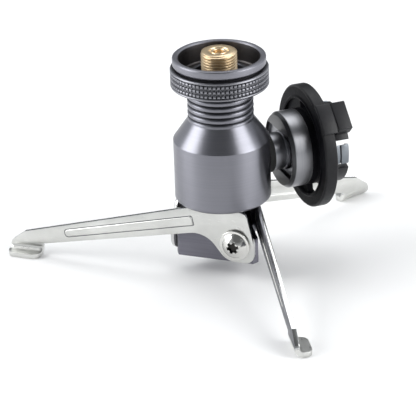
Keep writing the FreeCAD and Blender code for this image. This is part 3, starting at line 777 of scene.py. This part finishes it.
shell_pts = [(PASSAGE_R, HOUSING_X0), (BOSS_R - 0.1, HOUSING_X0, 0.08),
             (BOSS_R, HOUSING_X0 + 0.1, 0.08), (HOUSING_R - 0.12, HOUSING_X0 + 1.0, 0.1),
             (HOUSING_R, HOUSING_X0 + 1.2, 0.1), (HOUSING_R, HOUSING_X1 - 0.2, 0.1),
             (HOUSING_R - 0.2, HOUSING_X1), (9.0, HOUSING_X1), (9.0, RING_X1), (5.3, RING_X1),
             (5.3, 30.2), (4.4, 30.2), (4.4, 26.0), (PASSAGE_R, 26.0)]
housing = make("valve_shell", turned(soft(shell_pts), 160, True, on_arm), HOUSING, 35)
half = math.asin(SLOT_HALF / POCKET_R)
pocket = [(POCKET_R * math.cos(half * k / 12), POCKET_R * math.sin(half * k / 12))
          for k in range(-12, 13)]
pocket += [(-x, -y) for x, y in pocket]
cut(housing, make("slot_tool", prism(pocket, HOUSING_X0 - 2, FLOOR_X, on_arm), HOUSING))
bevelled(housing, 0.1, 2, 60)
smooth(housing, 30)
finish_piece(housing, "stand", "anodised_grey", "valve_housing")

RIM_LIP = RIM_IN - 0.6
ring_pts = [(HUB_IN, HOUSING_X1), (HUB_R - 0.3, HOUSING_X1, 0.1), (HUB_R, HOUSING_X1 + 0.3, 0.15),
            (HUB_R, WEB_X0, 0.25), (RIM_LIP, WEB_X0, 0.2), (RIM_LIP, 26.4, 0.12),
            (RIM_IN, 26.2, 0.12), (RIM_IN + 0.5, RING_X0, 0.2), (RING_R - 0.4, RING_X0, 0.15),
            (RING_R, RING_X0 + 0.4, 0.25), (RING_R, RING_X1 - 0.35, 0.3),
            (RING_R - 0.35, RING_X1, 0.2), (RIM_IN + 0.3, RING_X1, 0.1),
            (RIM_IN + 0.3, WEB_X1, 0.1), (HUB_R, WEB_X1, 0.1), (HUB_R, RING_X1), (HUB_IN, RING_X1)]
coupling = make("coupling_body", turned(soft(ring_pts), 160, True, on_arm), RING_BLACK, 35)
window = [(HUB_R + 0.2, 24.0), (RIM_LIP, 24.0), (RIM_LIP, 32.0), (HUB_R + 0.2, 32.0)]
for angle in WINDOWS:
    cut(coupling, make("window_tool", swept(window, angle, WINDOW_SPAN, 32), RING_BLACK))
smooth(coupling, 35)
finish_piece(coupling, "stand", "black_plastic", "coupling_ring")

wall = soft([(COLLAR_IN, RING_X1 - 0.2), (COLLAR_OUT, RING_X1 - 0.2),
             (COLLAR_OUT, COLLAR_X1, 0.3), (COLLAR_IN, COLLAR_X1, 0.25)])
for i, angle in enumerate(CLAWS, start=1):
    arc = swept(wall, angle + 60.0, 120.0 - GAP_SPAN, 40)
    piece = make("coupling_wall_" + str(i), arc, BLACK, 35, 0.15, 2, 60)
    finish_piece(piece, "stand", "black_plastic")

step_pts = [(16.5, 26.8), (KEY_STEP_R, 26.8, 0.35), (KEY_STEP_R, 31.6, 0.35), (16.5, 31.6)]
near = swept(soft(step_pts), 44.7, 28.8, 24)
near_piece = make("coupling_key_near", near, BLACK, 40, 0.25, 3, 50)
finish_piece(near_piece, "stand", "black_plastic")
rest = swept([(12.4, 31.6), (16.3, 31.6), (16.3, 36.0), (12.4, 36.0)], 40.5, 35.0, 24)
rest_piece = make("coupling_key_rest", rest, BLACK, 40, 0.2, 2, 50)
finish_piece(rest_piece, "stand", "black_plastic")


def key_block(name, x0, x1, low, top, w0, w1):
    """A block of the key: x along the arm, low to top outwards, w0 to w1 across."""
    a = math.radians(KEY_ANGLE)

    def put(x, r, w):
        return (x, -(r * math.cos(a) - w * math.sin(a)),
                ARM_Z + r * math.sin(a) + w * math.cos(a))

    shape = prism([(x0, low), (x1, low), (x1, top), (x0, top)], w0, w1, put)
    finish_piece(make(name, shape, BLACK, 40, 0.28, 3, 40), "stand", "black_plastic")


key_block("coupling_key_far", 31.85, KEY_X1, 16.0, KEY_TOP, -4.3, 5.0)
key_block("coupling_key_link", 31.3, 32.1, 16.7, KEY_TOP - 0.25, -4.05, 4.75)


# ---- claw plate, its screws and the nozzle --------------------------------------------------
disc_pts = [(PLATE_IN, RING_X1), (PLATE_OUT, RING_X1), (PLATE_OUT, PLATE_X1, 0.12),
            (PLATE_IN, PLATE_X1, 0.12)]
disc = make("claw_disc", turned(soft(disc_pts), 144, True, on_arm), ZINC, 40)
finish_piece(disc, "stand", "zinc_steel", "claw_plate")
inside, hook = CLAW_R - PLATE_T, CLAW_R - CLAW_HOOK
claw_pts = [(PLATE_OUT - 0.4, RING_X1 + 0.05), (CLAW_R - 0.3, RING_X1 + 0.05, 0.5),
            (CLAW_R - 0.3, 34.25, 0.08), (inside + 0.12, 34.3, 0.04), (inside + 0.12, 34.5, 0.04),
            (CLAW_R, 34.55, 0.2), (CLAW_R, CLAW_X1, 0.5), (hook, CLAW_X1, 0.25),
            (hook, CLAW_X1 - PLATE_T, 0.25), (inside, CLAW_X1 - PLATE_T, 0.15),
            (inside, PLATE_X1, 0.2), (PLATE_OUT - 0.4, PLATE_X1)]
for i, angle in enumerate(CLAWS, start=1):
    arc = swept(soft(claw_pts, seg=4), angle, CLAW_SPAN, 24)
    claw = make("claw_" + str(i), arc, ZINC, 40, 0.1, 2, 60)
    finish_piece(claw, "stand", "zinc_steel")
for i, angle in enumerate(CLAWS, start=1):
    a = math.radians(angle)
    verts, faces = screw_head(2.05, 1.25, 4, 0.75, 0.42, 0.75, n=64)
    cy, cz = -SCREW_PCR * math.cos(a), ARM_Z + SCREW_PCR * math.sin(a)
    verts = [(PLATE_X1 + z, cy + x, cz + y) for x, y, z in verts]
    head = make("plate_screw_" + str(i), (verts, faces), ZINC, 45)
    finish_piece(head, "stand", "zinc_steel", *replaced(i, "plate_screws"))
nozzle_pts = [(PASSAGE_R, 26.0), (4.4, 26.0), (4.4, 30.2), (5.2, 30.2, 0.15), (5.2, 31.6, 0.2),
              (3.6, 31.6, 0.1), (3.6, 33.4, 0.2), (3.2, 33.8, 0.15), (2.3, 33.8, 0.15),
              (2.3, 31.6), (PASSAGE_R, 31.6)]
nozzle = make("inlet_nozzle", turned(soft(nozzle_pts), 96, True, on_arm), BRASS, 45)
finish_piece(nozzle, "stand", "brass", "gas_nozzle")

# The hidden CAD nodes stay and get their materials.
for name, material in (("valve_spring", BRIGHT), ("valve_seal", RUBBER), ("tube_seal", RUBBER),
                       ("nozzle_seal", RUBBER)):
    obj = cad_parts[name]
    obj.data.materials.clear()
    obj.data.materials.append(material)

# ---- floor, light and camera ------------------------------------------------------------------
FLOOR_HALF = 9
floor_mesh = bpy.data.meshes.new("floor")
F = FLOOR_HALF
floor_mesh.from_pydata([(-F, -F, 0), (F, -F, 0), (F, F, 0), (-F, F, 0)], [], [(0, 1, 2, 3)])
floor = bpy.data.objects.new("floor", floor_mesh)
bpy.context.collection.objects.link(floor)
floor_mat, tree, shader = new_material("floor")
tone = noise(tree, EVEN, 4.0, 2.0)
pale = ramp(tree, tone, (0.3, grey(0.900)), (0.7, grey(0.915)))
tree.links.new(pale, shader.inputs["Base Color"])
shader.inputs["Roughness"].default_value = 0.75
shader.inputs["Specular IOR Level"].default_value = 0.2
floor_mesh.materials.append(floor_mat)

TURN = math.radians(-20.5)  # how far the camera is turned round the object


def studio(x, y, z):
    """A point in camera-aligned axes (x right, y away) in the object's frame."""
    return Vector((x * math.cos(TURN) - y * math.sin(TURN),
                   x * math.sin(TURN) + y * math.cos(TURN), z))


def softbox(name, at, target, size_x, size_y, power):
    """A rectangular area light; places and sizes in metres, power in watts."""
    data = bpy.data.lights.new(name, "AREA")
    data.shape = "RECTANGLE"
    data.size = size_x
    data.size_y = size_y
    data.energy = power
    lamp = bpy.data.objects.new(name, data)
    bpy.context.collection.objects.link(lamp)
    here, there = studio(*at), studio(*target)
    lamp.location = here
    lamp.rotation_euler = (there - here).to_track_quat("-Z", "Y").to_euler()


aim = (0.0, 0.0, 0.035)
softbox("left_box", (-0.80, -0.02, 0.42), aim, 0.60, 0.75, 6.4)
softbox("right_box", (0.74, -0.32, 0.42), aim, 0.60, 0.75, 6.0)
softbox("top_box", (0.0, 0.45, 0.95), aim, 1.1, 0.60, 4.0)

# The surroundings are pale, darker up in front, with a dark band low down behind.
world = bpy.data.worlds.new("studio")
bpy.context.scene.world = world
world.use_nodes = True
tree = world.node_tree
sky = next(n for n in tree.nodes if n.type == "BACKGROUND")
place = node(tree, "ShaderNodeTexCoord")
facing_front = node(tree, "ShaderNodeVectorMath", operation="DOT_PRODUCT")
facing_front.inputs[1].default_value = studio(0.0, -0.60, 0.80)
tree.links.new(place.outputs["Generated"], facing_front.inputs[0])
fade = ramp(tree, facing_front.outputs["Value"],
            (0.45, (0.93, 0.965, 1.0)), (0.88, (0.20, 0.205, 0.21)))
height = node(tree, "ShaderNodeSeparateXYZ")
tree.links.new(place.outputs["Generated"], height.inputs[0])
band = ramp(tree, height.outputs["Z"], (0.0, grey(0.08)), (0.44, grey(0.10)), (0.56, grey(1.0)))
facing_back = node(tree, "ShaderNodeVectorMath", operation="DOT_PRODUCT")
facing_back.inputs[1].default_value = studio(0.0, 1.0, 0.0)
tree.links.new(place.outputs["Generated"], facing_back.inputs[0])
behind = node(tree, "ShaderNodeMix", data_type="RGBA")
share = ramp(tree, facing_back.outputs["Value"], (0.80, grey(0.0)), (0.92, grey(1.0)))
tree.links.new(share, behind.inputs["Factor"])
behind.inputs[6].default_value = (1.0, 1.0, 1.0, 1.0)
tree.links.new(band, behind.inputs[7])
tree.links.new(multiplied(tree, fade, behind.outputs[2]), sky.inputs["Color"])
sky.inputs["Strength"].default_value = 0.74

# The camera fitted to the photograph; its focal length is known in pixels of 416.
SENSOR, FOCAL_PX, WIDTH_PX = 36.0, 2942.29, 416.0
ELEVATION, ROLL, DISTANCE = math.radians(24.25), math.radians(-1.95), 0.91057
target = studio(-0.00486, 0.0, 0.01933)
back = studio(0.0, -math.cos(ELEVATION), math.sin(ELEVATION))
right = studio(1.0, 0.0, 0.0)
up = back.cross(right)
cam_right = right * math.cos(ROLL) + up * math.sin(ROLL)
cam_up = up * math.cos(ROLL) - right * math.sin(ROLL)
cam_data = bpy.data.cameras.new("camera")
cam_data.sensor_width = SENSOR
cam_data.lens = SENSOR * FOCAL_PX / WIDTH_PX
cam_data.clip_start = 0.05
cam_data.clip_end = 20.0
camera = bpy.data.objects.new("camera", cam_data)
bpy.context.collection.objects.link(camera)
spin = Matrix((cam_right, cam_up, back)).transposed().to_4x4()
camera.matrix_world = Matrix.Translation(target + back * DISTANCE) @ spin
bpy.context.scene.camera = camera
bpy.context.scene.view_settings.view_transform = "Standard"
bpy.context.scene.view_settings.look = "None"

bpy.context.view_layer.update()
